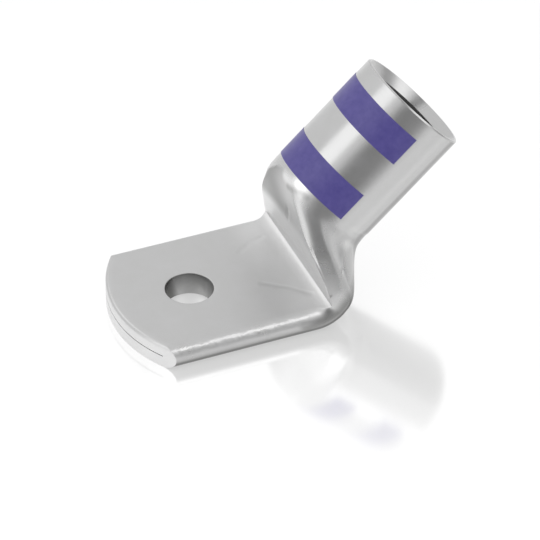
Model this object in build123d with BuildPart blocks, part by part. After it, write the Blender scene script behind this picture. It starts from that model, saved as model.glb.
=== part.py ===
from build123d import *
from math import cos, radians, sin, tan
import os

# Driving dimensions of the drawn tube, in millimetres
tube_diameter = 17.9
tube_wall = 1.95
barrel_length = 19.3

# The flattened tongue, measured from the middle of the stud hole
hole_diameter = 7.3
hole_to_end = 12.05
hole_to_bend = 18.3
tongue_width = 26.5
tongue_width_at_crease = 26.2
end_radius = 20.8
end_roll = 0.6

# The seam between the two pressed layers, where it shows on the sheared end
seam_height = 0.12
seam_depth = 0.8

# The bend between the tongue and the barrel
bend_angle = 43.0
bend_radius = 6.7
crease_thickness = 3.6

# The forming between the flat tongue and the round barrel
forming_length = 10.7
crease_corner = 0.15
crease_flank_drop = 0.47
ridge_angle = 30.0
keel_angle = 25.0

# Where the keel, sides and ridges draw in, and where the sides rise, as shares of the forming's length
skin_draws = ((0.1, 0.8), (0.34, 0.76), (0, 0.85), (0.1, 0.8))
funnel_draws = ((0, 0.7), (0, 0.52), (0, 0.75), (0, 0.7))
skin_shares = (0, 0.12, 0.25, 0.4, 0.55, 0.7, 0.86)
funnel_shares = (0, 0.45)

# The funnel inside the forming, which closes to a slit between the layers
slit_height = 0.2
funnel_start = 2.1

# The mouth of the barrel
mouth_chamfer = 0.45
rim_chamfer = 0.2

# The printed colour code
ink_thickness = 0.06
band_width = 4.95
forming_to_band = 0.05
band_to_mouth = 2.95
band_half_angle = 78.0

# Values worked out from the sizes above
tube_radius = tube_diameter / 2
bore_radius = tube_radius - tube_wall
tongue_thickness = 2 * tube_wall
half_width_at_crease = tongue_width_at_crease / 2
bend_reach = bend_radius * tan(radians(bend_angle / 2))
bend_start = hole_to_bend - bend_reach
barrel_start = bend_reach + forming_length
barrel_direction = Vector(cos(radians(bend_angle)), 0, sin(radians(bend_angle)))
barrel_normal = Vector(-sin(radians(bend_angle)), 0, cos(radians(bend_angle)))


def barrel_plane(along, lift=0):
    """The plane square to the barrel, with its origin a lift above the barrel's back line."""
    corner = Vector(hole_to_bend, 0, 0)
    origin = corner + barrel_direction * along + barrel_normal * lift
    return Plane(origin=origin, x_dir=(0, 1, 0), z_dir=barrel_direction)


def bend_plane(turn):
    """The plane square to the tongue once the bend has turned by an angle."""
    around = radians(turn)
    origin = (bend_start + bend_radius * sin(around), 0, bend_radius * (1 - cos(around)))
    return Plane(origin=origin, x_dir=(0, 1, 0), z_dir=(cos(around), 0, sin(around)))


def between(first, last, share):
    return first + (last - first) * share


def swell(share, delay):
    """A blend that starts slowly for a delay above one, and ends level."""
    return sin(radians(90) * share**delay)


def settle(share, start, stop):
    """A blend from one share to another that is level at both."""
    way = min(max((share - start) / (stop - start), 0), 1)
    return way * way * (3 - 2 * way)


def rounded_corner(first, corner, last, ease=0.5523):
    """The four control points of a curve from one point to another that is tangent to a corner's sides."""
    leave = (between(first[0], corner[0], ease), between(first[1], corner[1], ease))
    arrive = (between(last[0], corner[0], ease), between(last[1], corner[1], ease))
    return [first, leave, arrive, last]


def mirrored(points):
    return [(-x, y) for x, y in reversed(points)]


def pressed_section(plane, keel, keel_slope, side, ridge, flank_drop, crown):
    """A closed section: a keel below, a rounded side each way, and a crown between two ridges."""
    keel_corner = (side[0], keel[1] + (side[0] - keel[0]) * tan(radians(keel_slope)))
    ridge_corner = (side[0], between(ridge[1], side[1], flank_drop))
    lower = rounded_corner(keel, keel_corner, side)
    upper = rounded_corner(side, ridge_corner, ridge)
    edges = [
        Bezier((-keel[0], keel[1]), (0, keel[1] - keel[0] * tan(radians(keel_slope))), keel),
        Bezier(*lower),
        Bezier(*upper),
        Bezier(ridge, (0, 2 * crown - ridge[1]), (-ridge[0], ridge[1])),
        Bezier(*mirrored(upper)),
        Bezier(*mirrored(lower)),
    ]
    return plane * Face(Wire(edges))


def round_section(plane, radius):
    """A circle that rests on the plane's origin, split at the same places as a pressed section."""
    arcs = [
        (270 - keel_angle, 2 * keel_angle),
        (270 + keel_angle, 90 - keel_angle),
        (0, 90 - ridge_angle),
        (90 - ridge_angle, 2 * ridge_angle),
        (90 + ridge_angle, 90 - ridge_angle),
        (180, 90 - keel_angle),
    ]
    edges = [CenterArc((0, radius), radius, start, sweep) for start, sweep in arcs]
    return plane * Face(Wire(edges))


def folded_section(plane):
    """The flattened tube's section where the bend begins: flat above and below, with round folded sides."""
    fold = tongue_thickness / 2
    middle = tongue_width / 2 - fold
    edges = [
        Line((-middle, 0), (middle, 0)),
        CenterArc((middle, fold), fold, 270, 90),
        CenterArc((middle, fold), fold, 0, 90),
        Line((middle, tongue_thickness), (-middle, tongue_thickness)),
        CenterArc((-middle, fold), fold, 90, 90),
        CenterArc((-middle, fold), fold, 180, 90),
    ]
    return plane * Face(Wire(edges))


def squeezed_section(plane, half_width, thickness, corner, flank_drop):
    """The flattened tube's section inside the bend, where its upper corners are squeezed sharp."""
    return pressed_section(
        plane,
        keel=(half_width - thickness / 2, 0),
        keel_slope=0,
        side=(half_width, thickness / 2),
        ridge=(half_width - corner, thickness),
        flank_drop=flank_drop,
        crown=thickness,
    )


def forming_section(plane, share, half_width, thickness, radius, corner, corner_drop, draws):
    """The tube's section part of the way from flat, at share 0, to round, at share 1."""
    keel_draws, side_draws, ridge_draws, side_rises = draws
    round_keel = (radius * sin(radians(keel_angle)), radius * (1 - cos(radians(keel_angle))))
    round_ridge = (radius * sin(radians(ridge_angle)), radius * (1 + cos(radians(ridge_angle))))
    round_drop = (1 - sin(radians(ridge_angle))) / (cos(radians(ridge_angle)) / tan(radians(ridge_angle)))
    keel_width = between(half_width - thickness / 2, round_keel[0], settle(share, *keel_draws))
    side_width = between(half_width, radius, settle(share, *side_draws))
    ridge_width = between(half_width - corner, round_ridge[0], settle(share, *ridge_draws))
    return pressed_section(
        plane,
        keel=(keel_width, round_keel[1] * swell(share, 0.88)),
        keel_slope=keel_angle * settle(share, 0, 1),
        side=(side_width, between(thickness / 2, radius, settle(share, *side_rises))),
        ridge=(ridge_width, between(thickness, round_ridge[1], swell(share, 1.09))),
        flank_drop=between(corner_drop, round_drop, share),
        crown=between(thickness, 2 * radius, swell(share, 1.35)),
    )


# The tongue: the tube pressed flat, and sheared to a curved end with a rolled upper edge
with BuildPart() as shear:
    with BuildSketch(Plane.XY):
        with Locations((end_radius - hole_to_end, 0)):
            Circle(end_radius)
        with Locations((bend_start - end_radius, 0)):
            Rectangle(2 * end_radius, 2 * end_radius, mode=Mode.INTERSECT)
    extrude(amount=tongue_thickness)
    fillet(shear.edges().filter_by(GeomType.CIRCLE).sort_by(Axis.Z)[-1], radius=end_roll)
with BuildPart() as tongue:
    with BuildSketch(Plane(origin=(bend_start, 0, tongue_thickness / 2), x_dir=(0, 1, 0), z_dir=(-1, 0, 0))):
        SlotOverall(tongue_width, tongue_thickness)
    extrude(amount=bend_start + hole_to_end)
    add(shear.part, mode=Mode.INTERSECT)
    with BuildSketch(Plane.XY.offset((tongue_thickness - seam_height) / 2)):
        with Locations((end_radius - hole_to_end, 0)):
            Circle(end_radius + 1)
            Circle(end_radius - seam_depth, mode=Mode.SUBTRACT)
        Rectangle(4 * hole_to_end, tongue_width - tongue_thickness, mode=Mode.INTERSECT)
    extrude(amount=seam_height, mode=Mode.SUBTRACT)

# The bend, where the folded sides are squeezed up into two sharp corners
bend_sections = [folded_section(bend_plane(0))]
for share in (0.33, 0.67, 1):
    width = between(tongue_width / 2, half_width_at_crease, share**2)
    thickness = between(tongue_thickness, crease_thickness, share**2)
    corner = between(tongue_thickness / 2, crease_corner, share)
    plane = bend_plane(bend_angle * share)
    bend_sections.append(squeezed_section(plane, width, thickness, corner, crease_flank_drop * share))
with BuildPart() as bend:
    loft(bend_sections)

# The forming from flat to round, and the funnel inside it, one wall in
forming_sections = []
funnel_sections = []
for share in skin_shares:
    plane = barrel_plane(bend_reach + forming_length * share)
    skin = (half_width_at_crease, crease_thickness, tube_radius, crease_corner, crease_flank_drop)
    forming_sections.append(forming_section(plane, share, *skin, skin_draws))
for share in funnel_shares:
    plane = barrel_plane(between(bend_reach + funnel_start, barrel_start, share), tube_wall)
    skin = (half_width_at_crease - tube_wall, slit_height, bore_radius, slit_height / 2, 0)
    funnel_sections.append(forming_section(plane, share, *skin, funnel_draws))
forming_sections.append(round_section(barrel_plane(barrel_start), tube_radius))
funnel_sections.append(round_section(barrel_plane(barrel_start, tube_wall), bore_radius))
with BuildPart() as forming:
    loft(forming_sections)
with BuildPart() as funnel:
    loft(funnel_sections)

# The lug body, one piece of tube
with BuildPart() as lug_body:
    add(tongue.part)
    add(bend.part)
    add(forming.part)
    with BuildSketch(barrel_plane(barrel_start, tube_radius)):
        Circle(tube_radius)
    extrude(amount=barrel_length)
    add(funnel.part, mode=Mode.SUBTRACT)
    with BuildSketch(barrel_plane(barrel_start, tube_radius)):
        Circle(bore_radius)
    extrude(amount=barrel_length, mode=Mode.SUBTRACT)
    with BuildSketch(Plane.XY):
        Circle(hole_diameter / 2)
    extrude(amount=tongue_thickness, mode=Mode.SUBTRACT)
    for place, size in ((0, mouth_chamfer), (-1, rim_chamfer)):
        mouth_face = lug_body.faces().sort_by(Axis((0, 0, 0), barrel_direction))[-1]
        chamfer(mouth_face.edges().sort_by(SortBy.RADIUS)[place], length=size)
lug_body.part.label = "lug_body"


def colour_band(start):
    """A printed film on the barrel, open along the back."""
    outer = tube_radius + ink_thickness
    first = radians(90 - band_half_angle)
    with BuildPart() as band:
        with BuildSketch(barrel_plane(barrel_start + start, tube_radius)):
            with BuildLine():
                CenterArc((0, 0), outer, 90 - band_half_angle, 2 * band_half_angle)
                CenterArc((0, 0), tube_radius, 90 - band_half_angle, 2 * band_half_angle)
                for side in (-1, 1):
                    inner_end = (side * tube_radius * cos(first), tube_radius * sin(first))
                    Line(inner_end, (side * outer * cos(first), outer * sin(first)))
            make_face()
        extrude(amount=band_width)
    return band


colour_band_lower = colour_band(forming_to_band)
colour_band_lower.part.label = "colour_band_lower"
colour_band_upper = colour_band(barrel_length - band_to_mouth - band_width)
colour_band_upper.part.label = "colour_band_upper"

os.makedirs("parts", exist_ok=True)
export_step(lug_body.part, "parts/lug_body.step")
export_step(colour_band_lower.part, "parts/colour_band_lower.step")
export_step(colour_band_upper.part, "parts/colour_band_upper.step")

print("lug body", lug_body.part.is_valid, lug_body.part.volume, lug_body.part.center(CenterOf.MASS))
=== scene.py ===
# %% [markdown]
# # A bent cable lug
# A cable lug is one piece of copper tube with a tin coat. One end stays round, to take a stripped wire. The other
# end is pressed flat, pierced for a stud and bent up. This lesson dresses the measured model of such a lug: it
# builds a fine skin for the metal, prints two bands of ink on it, and lights it as in a small photo studio.

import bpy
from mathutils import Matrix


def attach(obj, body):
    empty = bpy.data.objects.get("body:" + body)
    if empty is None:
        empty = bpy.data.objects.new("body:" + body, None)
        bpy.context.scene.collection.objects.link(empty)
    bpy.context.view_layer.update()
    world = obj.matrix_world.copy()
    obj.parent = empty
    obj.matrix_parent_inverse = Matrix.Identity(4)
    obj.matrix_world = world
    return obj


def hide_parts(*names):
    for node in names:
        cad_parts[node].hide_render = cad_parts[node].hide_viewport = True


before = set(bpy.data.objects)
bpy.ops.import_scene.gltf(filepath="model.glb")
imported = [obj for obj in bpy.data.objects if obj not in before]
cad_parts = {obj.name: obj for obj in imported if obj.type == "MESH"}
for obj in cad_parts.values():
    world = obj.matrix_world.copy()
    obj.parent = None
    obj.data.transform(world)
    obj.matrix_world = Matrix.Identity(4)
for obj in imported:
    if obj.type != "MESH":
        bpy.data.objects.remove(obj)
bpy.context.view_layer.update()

# %% [markdown]
# ## The camera
# The view is a product shot with a long lens, from half a metre away, so the barrel hardly narrows with distance.
# A camera could be turned by hand until it looks right. Here its direction is written as two angles, round and up,
# which is how a photographer would describe it, and the camera backs away from a target on the tongue.

# %% Set up the camera
from math import cos, pi, radians, sin, sqrt, tan

import bmesh
import bpy
from mathutils import Matrix, Vector

MM = 0.001


def direction(around, up):
    """The unit vector at an angle round from +Y towards +X, and an angle up from the floor."""
    return Vector((sin(radians(around)) * cos(radians(up)), cos(radians(around)) * cos(radians(up)), sin(radians(up))))


view_target = Vector((11.616, -3.599, 6.528)) * MM
view_distance = 500 * MM
to_camera = direction(180 + 22.92, 37.72)
camera_data = bpy.data.cameras.new("camera")
camera_data.sensor_fit = "HORIZONTAL"
camera_data.sensor_width = 36
camera_data.lens = 222.26
camera = bpy.data.objects.new("camera", camera_data)
bpy.context.scene.collection.objects.link(camera)
roll = Matrix.Rotation(radians(0.44), 3, to_camera)
camera.rotation_euler = (roll @ to_camera.to_track_quat("Z", "Y").to_matrix()).to_euler()
camera.location = view_target + to_camera * view_distance
bpy.context.scene.camera = camera
bpy.context.scene.view_settings.view_transform = "Standard"
print("camera at, mm:", [round(1000 * x, 1) for x in camera.location])

# %% [markdown]
# ## The studio
# Tin is a mirror that has been blurred, so what surrounds the lug matters more than how strong the lamps are. A
# plain grey surround would make the barrel look like plaster. The studio here is a pale room with soft round
# patches. Two bright ones, behind the lug and at its left, draw the streaks on the barrel and on the ridge. Two dark
# ones at the photographer's side draw the dark bands. Three small ones are only seen in the flared mouth. Two dim
# soft boxes add to them. The surround could be a picture, but a few nodes that read the direction are enough: each
# patch is the dot product of the direction with the patch's middle.

# %% Helpers for nodes
def add_node(tree, kind, settings=None, **values):
    """A node with its properties set from a dictionary, and its input sockets from keywords."""
    node = tree.nodes.new(kind)
    for name, value in (settings or {}).items():
        setattr(node, name, value)
    for name, value in values.items():
        node.inputs[name.replace("_", " ")].default_value = value
    return node


def join(tree, *pairs):
    """Links each pair of sockets, from an output to an input."""
    for output, target in pairs:
        tree.links.new(output, target)


# %% Helpers that measure and combine values
def in_range(tree, value, *limits, smooth=True):
    """A value that runs between the last two limits while its input runs between the first two."""
    kind = "SMOOTHSTEP" if smooth else "LINEAR"
    node = add_node(tree, "ShaderNodeMapRange", {"interpolation_type": kind})
    for name, limit in zip(("From Min", "From Max", "To Min", "To Max"), limits):
        node.inputs[name].default_value = limit
    join(tree, (value, node.inputs["Value"]))
    return node.outputs[0]


def along(tree, vector, axis):
    """How far a vector reaches along an axis."""
    dot = add_node(tree, "ShaderNodeVectorMath", {"operation": "DOT_PRODUCT"})
    dot.inputs[1].default_value = axis
    join(tree, (vector, dot.inputs[0]))
    return dot.outputs["Value"]


def combine(tree, operation, first, second):
    """Two values brought together by one step of arithmetic."""
    node = add_node(tree, "ShaderNodeMath", {"operation": operation})
    join(tree, (first, node.inputs[0]), (second, node.inputs[1]))
    return node.outputs[0]


# %% One soft patch of the surround
def direction_patch(tree, coordinates, around, up, inner, outer):
    """A soft round patch of the surround: 1 inside the inner angle, and 0 outside the outer one."""
    towards = along(tree, coordinates, direction(around, up))
    return in_range(tree, towards, cos(radians(outer)), cos(radians(inner)), 0, 1)


# %% The surround
world = bpy.data.worlds.new("studio")
bpy.context.scene.world = world
world.use_nodes = True
sky = world.node_tree
sky.nodes.clear()
facing = add_node(sky, "ShaderNodeTexCoord").outputs["Generated"]
SURROUND_LEVEL = 0.83
# Each patch: degrees round and up, degrees from its middle to where it starts and stops to fade, and its brightness.
SURROUND_PATCHES = (
    (-22, 46, 6, 24, 1.3),
    (-97, 0, 12, 30, 1.2),
    (160, 4, 8, 24, 0.6),
    (-157, 8, 15, 38, 0.27),
    (99, 28, 8, 15, 1.4),
    (89, 48, 5, 9, 0.0),
    (95, 3, 6, 14, 0.5),
)
level = add_node(sky, "ShaderNodeValue").outputs[0]
level.default_value = SURROUND_LEVEL
for around, up, inner, outer, shade in SURROUND_PATCHES:
    patch = direction_patch(sky, facing, around, up, inner, outer)
    blend = add_node(sky, "ShaderNodeMix", {"data_type": "FLOAT"})
    blend.inputs[3].default_value = shade
    join(sky, (patch, blend.inputs[0]), (level, blend.inputs[2]))
    level = blend.outputs[0]
surround = add_node(sky, "ShaderNodeBackground", Color=(1, 1, 1, 1))
world_output = add_node(sky, "ShaderNodeOutputWorld")
join(sky, (level, surround.inputs["Strength"]), (surround.outputs[0], world_output.inputs[0]))
print("patches in the surround:", len(SURROUND_PATCHES))

# %% Two soft boxes, each with degrees round and up, metres away, width, height and brightness
SOFT_BOXES = (
    ("soft_box_left", -94, 38, 0.60, 0.36, 0.30, 0.6),
    ("soft_box_front", 148, 56, 0.60, 0.36, 0.26, 0.75),
)
for name, around, up, away, width, height, brightness in SOFT_BOXES:
    lamp = bpy.data.lights.new(name, "AREA")
    lamp.shape = "RECTANGLE"
    lamp.size = width
    lamp.size_y = height
    lamp.energy = brightness * pi * width * height
    box = bpy.data.objects.new(name, lamp)
    bpy.context.scene.collection.objects.link(box)
    box.location = view_target + direction(around, up) * away
    box.rotation_euler = direction(around, up).to_track_quat("Z", "Y").to_euler()
    print(name, "watts:", round(lamp.energy, 3))

# %% [markdown]
# ## The floor
# The lug stands on a white, faintly polished board, as white as the page. A matt board would need so much light to
# get there that the metal would change too. So this board glows, like the light table of a product photographer:
# most of its white is its own, and a matt share still takes the lug's shadow. Over both lies a blurred polish, which
# mirrors more where the view is flatter, as varnish does. That leaves a faint image of the lug that fades as it goes.

# %% Make the board
FLOOR_RADIUS = 0.6
GAP_UNDER_LUG = 0.02 * MM
bm = bmesh.new()
bmesh.ops.create_circle(bm, cap_ends=True, radius=FLOOR_RADIUS, segments=96)
floor_mesh = bpy.data.meshes.new("floor")
bm.to_mesh(floor_mesh)
bm.free()
floor = bpy.data.objects.new("floor", floor_mesh)
bpy.context.scene.collection.objects.link(floor)
floor.location = (0, 0, -GAP_UNDER_LUG)
print("floor across, m:", round(floor.dimensions.x, 2))

# %% Give the board its glow and its polish
board = bpy.data.materials.new("white_board")
board.use_nodes = True
tree = board.node_tree
tree.nodes.clear()
matt = add_node(tree, "ShaderNodeBsdfDiffuse", Color=(0.35, 0.35, 0.35, 1))
glow = add_node(tree, "ShaderNodeEmission", Color=(1, 1, 1, 1), Strength=0.91)
glowing = add_node(tree, "ShaderNodeAddShader")
polish = add_node(tree, "ShaderNodeBsdfGlossy", Color=(1, 1, 1, 1), Roughness=0.12)
polished = add_node(tree, "ShaderNodeMixShader")
slant = add_node(tree, "ShaderNodeLayerWeight", Blend=0.62)
output = add_node(tree, "ShaderNodeOutputMaterial")
join(
    tree,
    (matt.outputs[0], glowing.inputs[0]),
    (glow.outputs[0], glowing.inputs[1]),
    (glowing.outputs[0], polished.inputs[1]),
    (polish.outputs[0], polished.inputs[2]),
    (slant.outputs["Facing"], polished.inputs[0]),
    (polished.outputs[0], output.inputs[0]),
)
floor_mesh.materials.append(board)
print("nodes in the board:", len(tree.nodes))

# %% [markdown]
# ## The lug's measures
# The measured model has these sizes already, but its skin is a net of loose triangles, and a blurred mirror shows
# every one of them. So the lug gets a new skin on the same sizes, made of even rings. These are the sizes, in
# millimetres, with the stud hole's centre on the underside of the tongue at zero.

# %% Sizes of the lug
TUBE_RADIUS = 8.95
TUBE_WALL = 1.95
BORE_RADIUS = TUBE_RADIUS - TUBE_WALL
BARREL_LENGTH = 19.3
TONGUE_THICKNESS = 2 * TUBE_WALL
HOLE_RADIUS = 3.65
HOLE_TO_END = 12.05
HOLE_TO_BEND = 18.3
END_RADIUS = 20.8
END_ROLL = 0.6
SEAM_HEIGHT = 0.12
SEAM_DEPTH = 0.8
HALF_WIDTH_AT_END = 13.25
HALF_WIDTH_AT_CREASE = 13.1
BEND_ANGLE = radians(43)
BEND_RADIUS = 6.7
CREASE_THICKNESS = 3.6
CREASE_CORNER = 0.15
CREASE_DROP = 0.47
TONGUE_TAPER = 0.03
FORMING_LENGTH = 10.7
SLIT_HEIGHT = 0.2
FUNNEL_START = 2.1
MOUTH_EDGE = 0.45
MOUTH_FLARE = 1.5
RIM_CHAMFER = 0.2

# What follows from them.
BEND_REACH = BEND_RADIUS * tan(BEND_ANGLE / 2)
BEND_START = HOLE_TO_BEND - BEND_REACH
BARREL_START = BEND_REACH + FORMING_LENGTH
MOUTH = BARREL_START + BARREL_LENGTH
ALONG_BARREL = Vector((cos(BEND_ANGLE), 0, sin(BEND_ANGLE)))
OUT_OF_BARREL = Vector((-sin(BEND_ANGLE), 0, cos(BEND_ANGLE)))
ACROSS = Vector((0, 1, 0))
print("mouth of the barrel at, mm along it:", round(MOUTH, 2), "bend starts at:", round(BEND_START, 2))

# %% [markdown]
# ## The outline of a section
# Cut anywhere, the lug has the same kind of outline: a bottom, two rounded sides, two ridges and a crown between
# the ridges. Flat on the tongue, these five run into a long slot shape. On the barrel they make a circle. One
# function can draw them all with Bezier curves. The points crowd together near the ridge, where the metal is
# folded, so that the fold keeps a crisp edge. Only half of an outline is drawn, and the other half is its mirror.

# %% Blends and curves
def between(first, last, share):
    """A value part of the way from one to another."""
    return first + (last - first) * share


def swell(share, delay):
    """A blend that starts slowly for a delay above one, and ends level."""
    return sin(pi / 2 * share**delay)


def settle(share, start, stop):
    """A blend from one share to another that is level at both."""
    way = min(max((share - start) / (stop - start), 0), 1)
    return way * way * (3 - 2 * way)


def curve_point(points, share):
    """A point on a Bezier curve, found by mixing neighbours again and again."""
    while len(points) > 1:
        points = [first.lerp(last, share) for first, last in zip(points, points[1:])]
    return points[0]


# %% Draw half of an outline
STEPS = 14
CIRCLE_PULL = 0.5523  # with this pull, a Bezier curve comes closest to a quarter of a circle
SOFTENED_POINTS = 5
SOFTENING_ROUNDS = 2


def half_outline(keel, keel_slope, side, ridge, flank_drop, crown, flat=0):
    """Points (across, height) from the middle of the bottom, round the side, to the middle of the crown."""
    keel, side, ridge = Vector(keel), Vector(side), Vector(ridge)
    low_corner = Vector((side.x, keel.y + (side.x - keel.x) * tan(keel_slope)))
    high_corner = Vector((side.x, between(ridge.y, side.y, flank_drop)))
    bottom = [Vector((-keel.x, keel.y)), Vector((0, keel.y - keel.x * tan(keel_slope))), keel]
    lower = [keel, keel.lerp(low_corner, CIRCLE_PULL), side.lerp(low_corner, CIRCLE_PULL), side]
    leaning = high_corner.lerp(ridge.lerp(side, 0.5), flat)
    side_pull = CIRCLE_PULL * (1 - 0.5 * flat)
    upper = [side, side.lerp(high_corner, side_pull), ridge.lerp(leaning, CIRCLE_PULL), ridge]
    top = [ridge, Vector((0, 2 * crown - ridge.y)), Vector((-ridge.x, ridge.y))]
    crowded = [sin(pi / 2 * i / STEPS) for i in range(STEPS + 1)]
    points = [curve_point(bottom, 0.5 + 0.5 * share) for share in crowded[:-1]]
    points += [curve_point(lower, 1 - share) for share in reversed(crowded[1:])]
    points += [curve_point(upper, share) for share in crowded[:-1]]
    points += [curve_point(top, 0.5 - 0.5 * share) for share in reversed(crowded)]
    near_ridge = range(3 * STEPS - SOFTENED_POINTS, 3 * STEPS + SOFTENED_POINTS + 1)
    for _ in range(SOFTENING_ROUNDS):
        moved = {i: (points[i - 1] + 2 * points[i] + points[i + 1]) / 4 for i in near_ridge}
        for i, point in moved.items():
            points[i] = point
    return points


# %% The outline on the tongue
def flat_outline(half_width, thickness, corner, flank_drop):
    """The tube pressed flat: corner is how far the fold's rounding reaches in from the side."""
    return half_outline(
        keel=(half_width - thickness / 2, 0),
        keel_slope=0,
        side=(half_width, thickness / 2),
        ridge=(half_width - corner, thickness),
        flank_drop=flank_drop,
        crown=thickness,
    )


def whole_ring(half):
    """The half outline and its mirror, once round."""
    return half + [Vector((-point.x, point.y)) for point in reversed(half[1:-1])]


print("points once round:", len(whole_ring(flat_outline(HALF_WIDTH_AT_END, TONGUE_THICKNESS, TUBE_WALL, 0))))

# %% The outline between flat and round, and on the barrel
KEEL_ANGLE = radians(25)
RIDGE_ANGLE = radians(15)
FLANK_FLATNESS = 0.5
FLATNESS_SPREAD = 0.8
KEEL_DELAY = 0.88
RIDGE_DELAY = 1.09
CROWN_DELAY = 1.35


def forming_outline(share, half_width, thickness, radius, corner, corner_drop, draws):
    """The tube part of the way from flat, at share 0, to round, at share 1."""
    keel_draws, side_draws, ridge_draws, side_rises = draws
    round_keel = (radius * sin(KEEL_ANGLE), radius * (1 - cos(KEEL_ANGLE)))
    round_ridge = (radius * sin(RIDGE_ANGLE), radius * (1 + cos(RIDGE_ANGLE)))
    round_drop = (1 - sin(RIDGE_ANGLE)) * tan(RIDGE_ANGLE) / cos(RIDGE_ANGLE)
    outline = half_outline(
        keel=(
            between(half_width - thickness / 2, round_keel[0], settle(share, *keel_draws)),
            round_keel[1] * swell(share, KEEL_DELAY),
        ),
        keel_slope=KEEL_ANGLE * settle(share, 0, 1),
        side=(
            between(half_width, radius, settle(share, *side_draws)),
            between(thickness / 2, radius, settle(share, *side_rises)),
        ),
        ridge=(
            between(half_width - corner, round_ridge[0], settle(share, *ridge_draws)),
            between(thickness, round_ridge[1], swell(share, RIDGE_DELAY)),
        ),
        flank_drop=between(corner_drop, round_drop, share),
        crown=between(thickness, 2 * radius, swell(share, CROWN_DELAY)),
        flat=FLANK_FLATNESS * sin(pi * share) ** FLATNESS_SPREAD,
    )
    if share == 1:
        centre = Vector((0, radius))
        outline = [centre + (point - centre).normalized() * radius for point in outline]
    return outline


def circle_outline(radius):
    """Half of a circle that rests on the barrel's back line."""
    return forming_outline(1, radius, 0, radius, 0, 0, ((0, 1),) * 4)


# %% [markdown]
# ## The rings, from the sheared end to the bottom of the bore
# A tube maker forms the lug from one tube, and the skin is made the same way, from one ring of edges. The ring is
# extruded and moved to the next place, again and again: along the tongue, round the bend, up the forming, along the
# barrel, over the rim of the mouth, and back down inside. Bridging ready rings would also work, but a growing tube
# keeps every ring in order, and each new vertex only has to find the old one it grew from.

# %% Rings on the tongue and in the bend
def curved_end(across):
    """Where the sheared end lies along the tongue, at a distance across from its middle."""
    return END_RADIUS - HOLE_TO_END - sqrt(END_RADIUS**2 - across**2)


def on_tongue(share):
    """A ring on the tongue, at a share of the way from the curved end to the bend."""
    half_width = between(HALF_WIDTH_AT_END, HALF_WIDTH_AT_END - TONGUE_TAPER, share)
    ring = []
    for point in whole_ring(flat_outline(half_width, TONGUE_THICKNESS, TONGUE_THICKNESS / 2, 0)):
        end = curved_end(point.x)
        x = between(end, BEND_START, share)
        from_end = min(x - end, END_ROLL)
        roll = END_ROLL - sqrt(END_ROLL**2 - (END_ROLL - from_end) ** 2)
        ring.append(Vector((x, point.x, min(point.y, TONGUE_THICKNESS - roll))))
    return ring


def in_bend(share):
    """A ring in the bend, which turns about a line under the tongue."""
    turn = BEND_ANGLE * share
    outline = flat_outline(
        between(HALF_WIDTH_AT_END - TONGUE_TAPER, HALF_WIDTH_AT_CREASE, share**2),
        between(TONGUE_THICKNESS, CREASE_THICKNESS, share**2),
        between(TONGUE_THICKNESS / 2, CREASE_CORNER, share),
        CREASE_DROP * share,
    )
    middle = Vector((BEND_START + BEND_RADIUS * sin(turn), 0, BEND_RADIUS * (1 - cos(turn))))
    out = Vector((-sin(turn), 0, cos(turn)))
    return [middle + ACROSS * point.x + out * point.y for point in whole_ring(outline)]


print("sheared end in the middle and at a corner, mm:", [round(curved_end(y), 2) for y in (0, HALF_WIDTH_AT_END)])


# %% Rings on the barrel and on the end face
def on_barrel(up_barrel, outline, lift=0):
    """A ring square to the barrel, at a distance up it from the bend's corner."""
    start = Vector((HOLE_TO_BEND, 0, 0)) + ALONG_BARREL * up_barrel + OUT_OF_BARREL * lift
    return [start + ACROSS * point.x + OUT_OF_BARREL * point.y for point in whole_ring(outline)]


def on_end_face(thickness, inset):
    """A slot-shaped ring round the middle of the sheared end, set in from its curved face."""
    lift = (TONGUE_THICKNESS - thickness) / 2
    half_width = HALF_WIDTH_AT_END - lift
    ring = []
    for point in whole_ring(flat_outline(half_width, thickness, thickness / 2, 0)):
        ring.append(Vector((curved_end(point.x) + inset, point.x, lift + point.y)))
    return ring


# %% [markdown]
# ## The flanks
# The pressing leaves its mark on the two flanks, between side and ridge. The punch comes from above and only bends
# the metal close to the ridge, so most of the flank still runs straight on from the barrel. In the photograph this
# is a bulging, smooth shoulder with one dark band on it. A blend of the flat and round outlines alone is too hollow
# there. So the flank follows the barrel's own circle and then a wider circle, which ends at the corner of the
# crease, and only the last part drops down to the ridge.

# %% How high the flank stands
FLANK_ANGLE = radians(47)
FLANK_RADIUS = 28.8
FLANK_MIDDLE = Vector((sin(FLANK_ANGLE), cos(FLANK_ANGLE))) * (TUBE_RADIUS - FLANK_RADIUS) + Vector((0, TUBE_RADIUS))


def flank_height(x):
    """The height of the flank over the barrel's back line: the barrel's own curve, then a much flatter one."""
    if x < TUBE_RADIUS * sin(FLANK_ANGLE):
        return TUBE_RADIUS + sqrt(TUBE_RADIUS**2 - x**2)
    return FLANK_MIDDLE.y + sqrt(FLANK_RADIUS**2 - (x - FLANK_MIDDLE.x) ** 2)


print("flank height over the barrel's back line, mm:", [round(flank_height(x), 2) for x in (0, 5, 10)])

# %% The outline in the forming
# For the skin and for the funnel in it: half width, thickness, round radius, corner and how far the corner drops.
# The draws say between which shares the keel, the side and the ridge are drawn in, and the side rises.
SKIN = (HALF_WIDTH_AT_CREASE, CREASE_THICKNESS, TUBE_RADIUS, CREASE_CORNER, CREASE_DROP)
SKIN_DRAWS = ((0.1, 0.8), (0.24, 0.9), (0, 1), (0.1, 0.8))
FUNNEL = (HALF_WIDTH_AT_CREASE - TUBE_WALL, SLIT_HEIGHT, BORE_RADIUS, SLIT_HEIGHT / 2, 0)
FUNNEL_DRAWS = ((0, 0.7), (0, 0.52), (0, 0.75), (0, 0.7))

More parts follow.
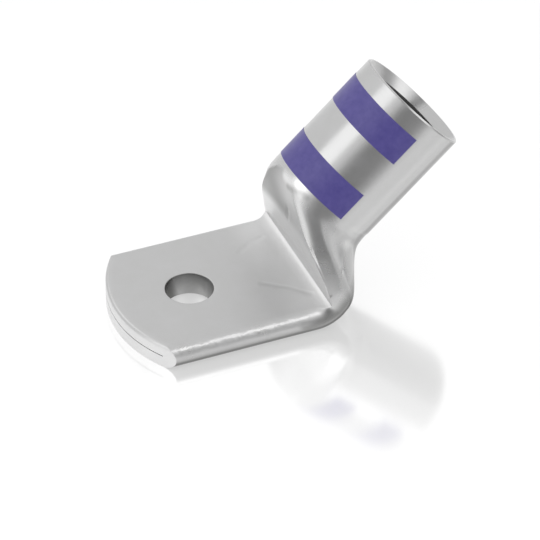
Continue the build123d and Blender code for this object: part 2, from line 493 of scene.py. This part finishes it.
# How the flank joins the skin, where it drops to the ridge, and where it takes over from the side.
FLANK_JOINS = (0, 0.3)
RIDGE_DROPS = (0.05, 0.35)
TOUCH_SHARE = 0.4
TOUCH_SWING = 0.2
SIDE_BELOW_CORNER = (0.9, 2.25)
CORNER_PULL = 0.64
DROP_SHARPNESS = 2.5


def skin_outline(share):
    """The outer skin in the forming: each flank runs straight on from the barrel, and drops only near its ridge."""
    half = forming_outline(share, *SKIN, SKIN_DRAWS)
    side, ridge = half[2 * STEPS].copy(), half[3 * STEPS].copy()
    joined = settle(share, *FLANK_JOINS)
    drop = (flank_height(ridge.x) - ridge.y) * settle(share, *RIDGE_DROPS)
    touch = Vector((between(side.x, ridge.x, TOUCH_SHARE - TOUCH_SWING * sin(pi * share)), 0))
    touch.y = flank_height(touch.x)
    step = 0.01
    slope = (touch.y - flank_height(touch.x + step)) / step
    corner = Vector((side.x, touch.y - (side.x - touch.x) * slope))
    side.y = min(side.y, corner.y - between(*SIDE_BELOW_CORNER, share))
    curve = [side, side.lerp(corner, CORNER_PULL), touch.lerp(corner, CORNER_PULL), touch]
    half_way = STEPS // 2
    flank = [curve_point(curve, i / half_way) for i in range(half_way)]
    for i in range(half_way + 1):
        way = sin(pi / 2 * i / half_way)
        x = between(touch.x, ridge.x, way)
        flank.append(Vector((x, flank_height(x) - drop * way**DROP_SHARPNESS)))
    lift = flank[-1] - ridge
    for i, point in enumerate(flank):
        half[2 * STEPS + i] = half[2 * STEPS + i].lerp(point, joined)
    for i in range(3 * STEPS + 1, 4 * STEPS + 1):
        half[i] = half[i] + lift * joined * (1 - settle((i - 3 * STEPS) / STEPS, 0, 1))
    return half


print("crown half way up the forming, mm:", round(skin_outline(0.5)[-1].y, 2))

# %% [markdown]
# ## All the rings in order
# The mouth needs a choice. It is flared wide on the inside, to guide the strands of the wire, and the eye sees this
# flare before it sees the bore. Two chamfers with a narrow rim between them show that form, where a bevel on the
# finished edge would round it away. Once the tube is grown and closed, its edges and faces are put in order, because
# Blender may number the new ones in another order each time, and a mesh should come out the same in every run.

# %% List the rings
ROLLED_SHARE = 0.021  # of the tongue, which takes the rolled edge of its sheared end
outer_circle = circle_outline(TUBE_RADIUS)
bore_circle = circle_outline(BORE_RADIUS)

rings = [on_end_face(SEAM_HEIGHT, SEAM_DEPTH), on_end_face(SEAM_HEIGHT, 0)]
rings += [on_tongue(ROLLED_SHARE * (i / 6) ** 2) for i in range(6)]
rings += [on_tongue(between(ROLLED_SHARE, 1, i / 30)) for i in range(30)]
rings += [in_bend(1 - (1 - i / 16) ** 1.6) for i in range(16)]
rings += [
    on_barrel(BEND_REACH + FORMING_LENGTH * share, skin_outline(share))
    for share in [(i / 64) ** 1.25 for i in range(64)]
]
rings += [on_barrel(between(BARREL_START, MOUTH - RIM_CHAMFER, i / 24), outer_circle) for i in range(25)]
rings.append(on_barrel(MOUTH, circle_outline(TUBE_RADIUS - RIM_CHAMFER), RIM_CHAMFER))
rings += [
    on_barrel(
        MOUTH - MOUTH_FLARE * share,
        circle_outline(between(TUBE_RADIUS - MOUTH_EDGE, BORE_RADIUS, share)),
        between(MOUTH_EDGE, TUBE_WALL, share),
    )
    for share in (0, 0.5, 1)
]
rings += [
    on_barrel(between(MOUTH - MOUTH_FLARE, BARREL_START, i / 16), bore_circle, TUBE_WALL) for i in range(1, 16)
]
rings += [
    on_barrel(
        between(BEND_REACH + FUNNEL_START, BARREL_START, share),
        forming_outline(share, *FUNNEL, FUNNEL_DRAWS),
        TUBE_WALL,
    )
    for share in [1 - i / 28 for i in range(29)]
]
print("rings:", len(rings), "points in each:", len(rings[0]))

# %% Grow the tube from ring to ring
bm = bmesh.new()
around = bm.verts.layers.int.new("around")
bmesh.ops.create_circle(bm, segments=len(rings[0]), radius=1)
bm.verts.ensure_lookup_table()
for i, vert in enumerate(bm.verts):
    vert[around] = i
    vert.co = rings[0][i] * MM
ring_edges = list(bm.edges)
first_edges = list(bm.edges)
for places in rings[1:]:
    grown = bmesh.ops.extrude_edge_only(bm, edges=ring_edges)["geom"]
    new_verts = {item for item in grown if isinstance(item, bmesh.types.BMVert)}
    ring_edges = [item for item in grown if isinstance(item, bmesh.types.BMEdge) and set(item.verts) <= new_verts]
    for vert in new_verts:
        vert.co = places[vert[around]] * MM
print("faces in the tube:", len(bm.faces), "open edges:", sum(edge.is_boundary for edge in bm.edges))


# %% Put edges and faces in order
def put_in_order(bm):
    """Sorts edges and faces by the lowest and highest number among their corners."""
    bm.verts.index_update()
    count = len(bm.verts)

    def place_in_order(item):
        numbers = [vert.index for vert in item.verts]
        return min(numbers) * count + max(numbers)

    for items in (bm.edges, bm.faces):
        items.sort(key=place_in_order)
        items.index_update()


# %% Close the two ends
def close_slot(ring_edges):
    """Closes a slot-shaped ring: ladder rungs from bottom to top, and a triangle at each side."""
    side_places = (2 * STEPS, 6 * STEPS)
    rungs = [edge for edge in ring_edges if not any(vert[around] in side_places for vert in edge.verts)]
    bmesh.ops.bridge_loops(bm, edges=rungs)
    bmesh.ops.holes_fill(bm, edges=[edge for edge in bm.edges if edge.is_boundary and edge not in rungs], sides=3)


close_slot(first_edges)
close_slot(ring_edges)
bmesh.ops.recalc_face_normals(bm, faces=bm.faces)
print("open edges:", sum(edge.is_boundary for edge in bm.edges), "volume, mm3:", round(bm.calc_volume() / MM**3))
put_in_order(bm)
lug_mesh = bpy.data.meshes.new("formed_lug")
bm.to_mesh(lug_mesh)
bm.free()
lug = bpy.data.objects.new("formed_lug", lug_mesh)
bpy.context.scene.collection.objects.link(lug)

# %% [markdown]
# ## The stud hole
# The hole is punched, so its top edge is drawn in a little and its bottom edge is left with a slight break. A plain
# cylinder as the cutter would leave two knife edges, which never catch the light. The cutter here is spun from a
# profile that flares at both faces of the tongue, so the cut and its rounded edges are made at once.

# %% Make a cutter that flares at both faces
HOLE_EDGE = 0.15
EDGE_STEPS = 4
EDGE_STARTS_BELOW = 0.004
CUTTER_REACH = 1
profile = [(0, -CUTTER_REACH), (HOLE_RADIUS + HOLE_EDGE, -CUTTER_REACH)]
for turn in [pi / 2 * i / EDGE_STEPS for i in range(EDGE_STEPS + 1)]:
    profile.append((HOLE_RADIUS + HOLE_EDGE * (1 - sin(turn)), HOLE_EDGE * (1 - cos(turn)) - EDGE_STARTS_BELOW))
profile += [(radius, TONGUE_THICKNESS - height) for radius, height in reversed(profile)]
bm = bmesh.new()
verts = [bm.verts.new((radius * MM, 0, height * MM)) for radius, height in profile]
edges = [bm.edges.new(pair) for pair in zip(verts, verts[1:])]
bmesh.ops.spin(
    bm, geom=verts + edges, cent=(0, 0, 0), axis=(0, 0, 1), dvec=(0, 0, 0), angle=2 * pi, steps=96, use_merge=True
)
bmesh.ops.remove_doubles(bm, verts=bm.verts, dist=0.001 * MM)
bmesh.ops.recalc_face_normals(bm, faces=bm.faces)
put_in_order(bm)
cutter_mesh = bpy.data.meshes.new("hole_cutter")
bm.to_mesh(cutter_mesh)
bm.free()
cutter = bpy.data.objects.new("hole_cutter", cutter_mesh)
bpy.context.scene.collection.objects.link(cutter)
print("faces in the cutter:", len(cutter_mesh.polygons))

# %% Cut the stud hole
SHARP_ANGLE = radians(34)
cut = lug.modifiers.new("stud hole", "BOOLEAN")
cut.operation = "DIFFERENCE"
cut.solver = "EXACT"
cut.object = cutter
bpy.context.view_layer.update()
finished = bpy.data.meshes.new_from_object(lug.evaluated_get(bpy.context.evaluated_depsgraph_get()))
lug.modifiers.clear()
lug.data = finished
finished.name = "formed_lug"
bpy.data.objects.remove(cutter)
finished.shade_smooth()
finished.set_sharp_from_angle(angle=SHARP_ANGLE)
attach(lug, "root")
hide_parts("lug_body")
print("faces with the hole:", len(finished.polygons))

# %% [markdown]
# ## Tinned copper
# The tin coat is soft and white, thinner than paper, and it copies the drawn tube below it. It is a metal, so its
# colour sits in the reflection. What makes it look like tin is how the blur of the reflection wanders: the barrel
# is drawn and nearly bright, and the two faces that the press tools flattened are duller. One noise pattern moves
# both the blur and the tone, so that a cloudy spot is also a slightly lighter one.

# %% Start the tin
tin = bpy.data.materials.new("tinned_copper")
tin.use_nodes = True
tree = tin.node_tree
tree.nodes.clear()
place = add_node(tree, "ShaderNodeTexCoord").outputs["Object"]
facing = add_node(tree, "ShaderNodeNewGeometry").outputs["Normal"]
shader = add_node(tree, "ShaderNodeBsdfPrincipled", Metallic=1.0)
output = add_node(tree, "ShaderNodeOutputMaterial")
join(tree, (shader.outputs[0], output.inputs[0]))
print("nodes to start with:", len(tree.nodes))

# %% Set the blur of the tin
FORMING_BLUR = 0.3
BARREL_BLUR = 0.24
PRESSED_BLUR = 0.5
CLOUDY_BLUR = (0.86, 1.14)
cloud = add_node(tree, "ShaderNodeTexNoise", Scale=260, Detail=4, Roughness=0.6)
join(tree, (place, cloud.inputs["Vector"]))
forming_foot = (HOLE_TO_BEND * cos(BEND_ANGLE) + BEND_REACH) * MM
forming_top = (HOLE_TO_BEND * cos(BEND_ANGLE) + BARREL_START) * MM
up_barrel = along(tree, place, ALONG_BARREL)
drawn = in_range(tree, up_barrel, forming_foot, forming_top, FORMING_BLUR, BARREL_BLUR, smooth=False)
clouds = in_range(tree, cloud.outputs[0], 0.3, 0.7, *CLOUDY_BLUR, smooth=False)
wandering = combine(tree, "MULTIPLY", drawn, clouds)
tongue_face = in_range(tree, along(tree, facing, (0, 0, 1)), 0.85, 0.97, 0, PRESSED_BLUR)
punch_face = in_range(tree, along(tree, facing, (-1, 0, 0)), 0.85, 0.97, 0, PRESSED_BLUR)
pressed = combine(tree, "MAXIMUM", tongue_face, punch_face)
join(tree, (combine(tree, "MAXIMUM", wandering, pressed), shader.inputs["Roughness"]))
print("nodes so far:", len(tree.nodes))

# %% [markdown]
# ## The marks of the press
# Where the tools folded the tube, the tin keeps small marks: a worn ridge, a dent and folds over the crease, a
# wrinkle in the flank, small dents along the near fold, and faint lines on the tongue. They are under a quarter of a
# millimetre deep, so they are drawn into the finish as bumps. A picture could hold them, but a few lines in space
# are enough: a handful of nodes measures how far a place on the skin is from a line between two points, and turns
# that into a soft stroke.

# %% A stroke along a line
def line_stroke(tree, place, start, end, width):
    """A node output: 1 on the line between two points in millimetres, and 0 at the width and beyond."""
    start, end = Vector(start) * MM, Vector(end) * MM
    offset = add_node(tree, "ShaderNodeVectorMath", {"operation": "SUBTRACT"})
    offset.inputs[1].default_value = start
    held = add_node(tree, "ShaderNodeClamp")
    foot = add_node(tree, "ShaderNodeVectorMath", {"operation": "SCALE"})
    foot.inputs[0].default_value = end - start
    gap = add_node(tree, "ShaderNodeVectorMath", {"operation": "DISTANCE"})
    join(tree, (place, offset.inputs[0]))
    reach = along(tree, offset.outputs[0], (end - start) / (end - start).length_squared)
    join(tree, (reach, held.inputs["Value"]), (held.outputs[0], foot.inputs["Scale"]))
    join(tree, (offset.outputs[0], gap.inputs[0]), (foot.outputs[0], gap.inputs[1]))
    return in_range(tree, gap.outputs["Value"], width * MM, 0, 0, 1)


def strokes(tree, place, marks):
    """The sum of marks, each given as strength, width and the points that it runs through."""
    total = None
    for strength, width, points in marks:
        mark = None
        for start, end in zip(points, points[1:]):
            stroke = line_stroke(tree, place, start, end, width)
            mark = combine(tree, "MAXIMUM", mark, stroke) if mark else stroke
        mark = in_range(tree, mark, 0, 1, 0, strength, smooth=False)
        total = combine(tree, "ADD", total, mark) if total else mark
    return total


# %% The bumps, each as height, width and points in millimetres
RIDGE = ((15.7, -9.1, 13.0), (16.2, -10.6, 10.8), (16.8, -11.8, 8.6), (17.4, -12.6, 6.5))
RIDGE_BUMPS = ((-0.13, 0.5, RIDGE),)
BUMPS = (
    (0.06, 0.8, ((17.1, 5.6, 9.2), (17.3, 1.5, 9.1), (17.7, -1.6, 7.3))),
    (-0.15, 0.9, ((16.0, 0.2, 14.2), (16.4, 1.0, 12.7), (16.9, 2.4, 10.6))),
    (0.07, 0.7, ((17.6, 11.6, 5.3), (17.8, 5.7, 5.6), (17.9, -1.2, 6.1), (17.5, -7.4, 7.3))),
    (0.08, 0.35, ((19.6, -8.9, 14.6), (19.9, -9.5, 12.6), (20.0, -10.5, 11.3), (19.8, -12.0, 9.7))),
    (-0.06, 0.9, ((10.6, -3.2, 3.9), (14.0, -5.8, 3.9), (16.3, -8.3, 3.9))),
    (-0.05, 0.8, ((10.4, 5.4, 3.9), (12.7, 6.9, 3.9), (15.0, 7.6, 3.9))),
)
FOLD_DENTS = ((0.16, 1.3, ((-9.0, -12.8, 3.3), (14.0, -12.8, 3.3))),)
dents = add_node(tree, "ShaderNodeTexNoise", Scale=800, Detail=2, Roughness=0.5)
dented_fold = combine(tree, "MULTIPLY", strokes(tree, place, FOLD_DENTS), dents.outputs[0])
grain = add_node(tree, "ShaderNodeTexNoise", Scale=1900, Detail=5, Roughness=0.62)
fine = add_node(tree, "ShaderNodeBump", Strength=0.12, Distance=0.00006)
coarse = add_node(tree, "ShaderNodeBump", Strength=1.0, Distance=MM)
beside_punch = in_range(tree, punch_face, 0, 0.25, 1, 0)
press_marks = strokes(tree, place, BUMPS)
worn_ridge = combine(tree, "MULTIPLY", strokes(tree, place, RIDGE_BUMPS), beside_punch)
join(
    tree,
    (place, grain.inputs["Vector"]),
    (place, dents.inputs["Vector"]),
    (combine(tree, "ADD", press_marks, combine(tree, "ADD", worn_ridge, dented_fold)), coarse.inputs["Height"]),
    (coarse.outputs[0], fine.inputs["Normal"]),
    (grain.outputs[0], fine.inputs["Height"]),
    (fine.outputs[0], shader.inputs["Normal"]),
)
print("nodes with the marks:", len(tree.nodes))

# %% [markdown]
# ## Painted shade and painted highlights
# The tin's colour carries painted shade and painted highlights. The faces that look down get painted shade,
# most of all low down, and so do the wall of the stud hole, a few folds, a dent, a line on the tongue and the far
# end of the brow. The punched face over the crease gets a painted highlight, and so do the metal beside the
# crease, a place on the brow and a place under the lower band. Both are a darker and a lighter colour of the
# same metal, mixed in by the way the skin faces, by its height, and by a few strokes.

# %% Places of painted shade and painted highlights, each as strength, width and points in millimetres
# Strokes of painted shade: along the brow, under the bend by the near fold, in the dent over the crease, and along a
# line on the tongue.
PAINTED_SHADE_FOLDS = (
    (0.3, 0.8, ((15.1, -1.8, 19.9), (15.1, -3.1, 20.3), (16.1, -4.8, 20.5), (16.6, -5.6, 20.1))),
    (0.75, 2.2, ((13.5, -13.2, 1.4), (16.5, -13.1, 2.0), (19.2, -13.0, 3.2), (20.8, -13.0, 5.2))),
    (0.35, 0.55, ((16.0, 0.2, 14.2), (16.4, 1.0, 12.7), (16.9, 2.4, 10.6))),
    (0.12, 0.6, ((10.6, -3.2, 3.9), (14.0, -5.8, 3.9), (16.3, -8.3, 3.9))),
)
# Strokes of painted highlight: on the brow, on the tongue beside the crease, and along the ridge under the lower band.
PAINTED_HIGHLIGHTS = (
    (1.0, 1.4, ((15.35, -0.5, 20.9), (15.6, -3.0, 21.1), (16.5, -5.2, 20.9))),
    (0.45, 6.5, ((15.5, 9.5, 3.9), (15.5, -9.0, 3.9))),
    (0.8, 2.6, ((17.8, -12.4, 7.6), (17.0, -11.0, 10.8))),
)
print("greyed folds:", len(PAINTED_SHADE_FOLDS), "painted_highlight places:", len(PAINTED_HIGHLIGHTS))

# %% How much painted shade the tin gets
height = along(tree, place, (0, 0, 1))
downward = along(tree, facing, (0.6, 0, -0.8))

# Painted shade on the undersides: most of all low down, a little everywhere, and more where they turn furthest down
# and back.
near_floor = in_range(tree, height, 10 * MM, 4 * MM, 0, 1)
painted_shade_share = combine(tree, "MULTIPLY", in_range(tree, downward, -0.25, 0.4, 0, 1), near_floor)
painted_shade_share = combine(tree, "MAXIMUM", painted_shade_share, in_range(tree, downward, -0.25, 0.2, 0, 0.25))
painted_shade_share = combine(tree, "MAXIMUM", painted_shade_share, in_range(tree, downward, 0.3, 0.55, 0, 0.8))

# Painted shade on the wall of the stud hole and on the folds.
flat_place = add_node(tree, "ShaderNodeVectorMath", {"operation": "MULTIPLY"})
flat_place.inputs[1].default_value = (1, 1, 0)
from_hole = add_node(tree, "ShaderNodeVectorMath", {"operation": "LENGTH"})
join(tree, (place, flat_place.inputs[0]), (flat_place.outputs[0], from_hole.inputs[0]))
hole_wall = in_range(tree, from_hole.outputs["Value"], (HOLE_RADIUS + 0.12) * MM, (HOLE_RADIUS + 0.04) * MM, 0, 0.6)
painted_shade_share = combine(tree, "MAXIMUM", painted_shade_share, hole_wall)
painted_shade_share = combine(tree, "MAXIMUM", painted_shade_share, strokes(tree, place, PAINTED_SHADE_FOLDS))

# Painted shade on the far end of the brow.
far_brow = in_range(tree, along(tree, place, (0, 1, 0)), -2 * MM, 5 * MM, 0, 1)
far_brow = combine(tree, "MULTIPLY", far_brow, in_range(tree, height, 9 * MM, 13 * MM, 0, 1))
painted_shade_share = combine(tree, "MAXIMUM", painted_shade_share, combine(tree, "MULTIPLY", punch_face, far_brow))
print("nodes with the painted_shade:", len(tree.nodes))


# %% Mix the colour of the tin
def mix_colours(tree, share, first, second):
    """Two colours mixed by a share, where the first may also be a socket."""
    node = add_node(tree, "ShaderNodeMix", {"data_type": "RGBA"})
    node.inputs[7].default_value = (*second, 1)
    if isinstance(first, tuple):
        node.inputs[6].default_value = (*first, 1)
    else:
        join(tree, (first, node.inputs[6]))
    join(tree, (share, node.inputs[0]))
    return node.outputs[2]


TIN_TONES = ((0.6, 0.6, 0.595), (0.645, 0.645, 0.65))
# A lighter tin for the painted highlights and a darker one for the painted shade.
PAINTED_HIGHLIGHT_TIN = (0.9, 0.9, 0.9)
PAINTED_SHADE_TIN = (0.12, 0.12, 0.116)
# Painted highlight: the punched face over the crease, up to about 9 to 13 mm high, and the strokes get a lighter tin.
painted_highlight_share = combine(tree, "MULTIPLY", punch_face, in_range(tree, height, 13 * MM, 9 * MM, 0, 1))
painted_highlight_share = combine(tree, "MAXIMUM", painted_highlight_share, strokes(tree, place, PAINTED_HIGHLIGHTS))
colour = mix_colours(tree, cloud.outputs[0], *TIN_TONES)
colour = mix_colours(tree, painted_highlight_share, colour, PAINTED_HIGHLIGHT_TIN)
join(tree, (mix_colours(tree, painted_shade_share, colour, PAINTED_SHADE_TIN), shader.inputs["Base Color"]))
lug.data.materials.append(tin)
print("nodes in the tin:", len(tree.nodes))

# %% [markdown]
# ## Purple ink
# The two bands are printed with a roller straight on the tin. The film is thin and satin, and slightly uneven where
# the roller skipped. The measured model already has the two films, so they stay and only get this finish.

# %% Make the ink finish and print the bands
ink = bpy.data.materials.new("purple_ink")
ink.use_nodes = True
tree = ink.node_tree
tree.nodes.clear()
place = add_node(tree, "ShaderNodeTexCoord").outputs["Object"]
shader = add_node(tree, "ShaderNodeBsdfPrincipled", Roughness=0.36)
speckle = add_node(tree, "ShaderNodeTexNoise", Scale=900, Detail=4, Roughness=0.6)
ramp = add_node(tree, "ShaderNodeValToRGB")
ramp.color_ramp.elements[0].position = 0.3
ramp.color_ramp.elements[0].color = (0.078, 0.064, 0.275, 1)
ramp.color_ramp.elements[1].position = 0.7
ramp.color_ramp.elements[1].color = (0.105, 0.088, 0.32, 1)
bump = add_node(tree, "ShaderNodeBump", Strength=0.1, Distance=0.00004)
output = add_node(tree, "ShaderNodeOutputMaterial")
join(
    tree,
    (place, speckle.inputs["Vector"]),
    (speckle.outputs[0], ramp.inputs[0]),
    (ramp.outputs[0], shader.inputs["Base Color"]),
    (speckle.outputs[0], bump.inputs["Height"]),
    (bump.outputs[0], shader.inputs["Normal"]),
    (shader.outputs[0], output.inputs[0]),
)
for name in ("colour_band_lower", "colour_band_upper"):
    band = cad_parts[name]
    for slot in band.material_slots:
        slot.material = ink
    print(name, "slots:", len(band.material_slots))
